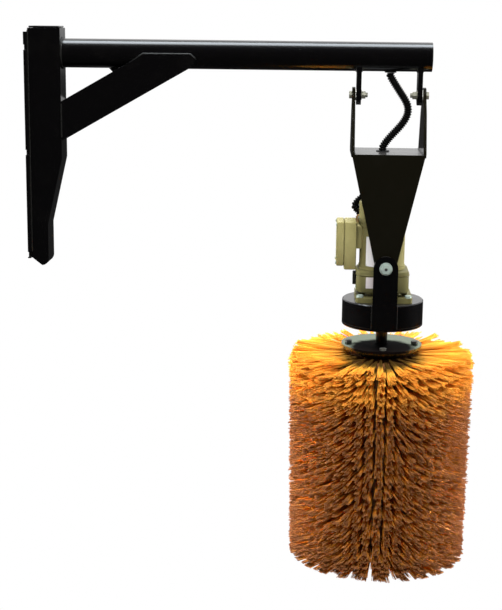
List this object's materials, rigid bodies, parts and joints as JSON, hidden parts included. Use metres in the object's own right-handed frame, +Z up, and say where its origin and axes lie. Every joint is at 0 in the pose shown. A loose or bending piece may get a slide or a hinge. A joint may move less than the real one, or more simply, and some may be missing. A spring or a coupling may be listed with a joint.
{
  "type": "rotating cow brush",
  "caption": "Motor-driven cylindrical bristle brush hanging from a wall bracket arm on a two-axis swinging yoke, with a braced post and an electric conduit.",
  "frame": {"origin": "on the wall plate's back face, halfway across its width, level with the arm's centre line", "axes": "+X out of the wall along the arm, +Z up, +Y to the left of someone who stands with their back to the wall and looks out along the arm"},
  "size_m": [1.2098, 0.5, 1.4366],
  "materials": {
    "black_paint": "gloss black powder coat on steel",
    "zinc_plate": "bright zinc-plated steel",
    "bright_steel": "turned steel",
    "motor_enamel": "olive-beige enamel on cast aluminium",
    "brass": "turned brass",
    "black_rubber": "matt black rubber",
    "white_nylon": "turned nylon",
    "fan_plastic": "moulded black plastic",
    "orange_bristle": "orange polypropylene bristles",
    "conduit_plastic": "black corrugated plastic"
  },
  "bodies": {
    "bracket": {"wall_plate": "black_paint", "post_channel": "black_paint", "post_cap": "black_paint", "arm_tube": "black_paint", "arm_end_cap": "black_paint", "brace_tube": "black_paint", "brace_gusset": "black_paint", "lug_left": "black_paint", "lug_right": "black_paint", "upper_bolt_left": "zinc_plate", "upper_bolt_right": "zinc_plate", "upper_nut_left": "zinc_plate", "upper_nut_right": "zinc_plate", "arm_outlet": "black_rubber", "conduit_upper": "conduit_plastic"},
    "yoke": {"strap_left": "black_paint", "strap_right": "black_paint", "yoke_top_plate": "black_paint", "yoke_front_plate": "black_paint", "yoke_back_plate": "black_paint", "upper_bush_left": "white_nylon", "upper_bush_right": "white_nylon", "conduit_grommet": "black_rubber", "conduit_lower": "conduit_plastic"},
    "carrier": {"ear_front": "black_paint", "ear_back": "black_paint", "pivot_bolt_front": "zinc_plate", "pivot_bolt_back": "zinc_plate", "pivot_nut_front": "zinc_plate", "pivot_nut_back": "zinc_plate", "pivot_bush_front": "white_nylon", "pivot_bush_back": "white_nylon", "drum_housing": "black_paint", "drum_cover": "black_paint", "bearing_outer_ring": "bright_steel", "gear_head": "motor_enamel", "flange_bolt_1": "zinc_plate", "flange_bolt_2": "zinc_plate", "flange_bolt_3": "zinc_plate", "flange_bolt_4": "zinc_plate", "gear_side_cap": "black_rubber", "motor_shell": "motor_enamel", "fan_cover": "motor_enamel", "terminal_box": "motor_enamel", "terminal_lid": "motor_enamel", "box_gland": "brass"},
    "rotor": {"motor_rotor": "bright_steel", "cooling_fan": "fan_plastic"},
    "brush": {"drive_shaft": "black_paint", "bearing_inner_ring": "bright_steel", "brush_flange": "black_paint", "flange_screw_1": "zinc_plate", "flange_screw_2": "zinc_plate", "flange_screw_3": "zinc_plate", "flange_screw_4": "zinc_plate", "core_tube": "black_paint", "end_plate": "black_paint", "bristle_ring_1": "orange_bristle", "bristle_ring_2": "orange_bristle", "bristle_ring_3": "orange_bristle"}
  },
  "joints": [
    {"name": "upper_swing", "type": "hinge", "parent": "bracket", "child": "yoke", "pos_m": [0.96, 0, -0.1], "axis": [1, 0, 0], "range_deg": [-35, 35], "deforming": ["conduit_upper"]},
    {"name": "lower_swing", "type": "hinge", "parent": "yoke", "child": "carrier", "pos_m": [0.96, 0, -0.545], "axis": [0, 1, 0], "range_deg": [-30, 30], "deforming": ["conduit_lower"]},
    {"name": "brush_spin", "type": "hinge", "parent": "carrier", "child": "brush", "pos_m": [0.96, 0, -0.772], "axis": [0, 0, 1], "continuous": true},
    {"name": "motor_spin", "type": "hinge", "parent": "carrier", "child": "rotor", "pos_m": [0.954, 0, -0.48], "axis": [0, 0, 1], "continuous": true}
  ],
  "couplings": [
    {"joint": "motor_spin", "follows": "brush_spin", "ratio": 50}
  ]
}
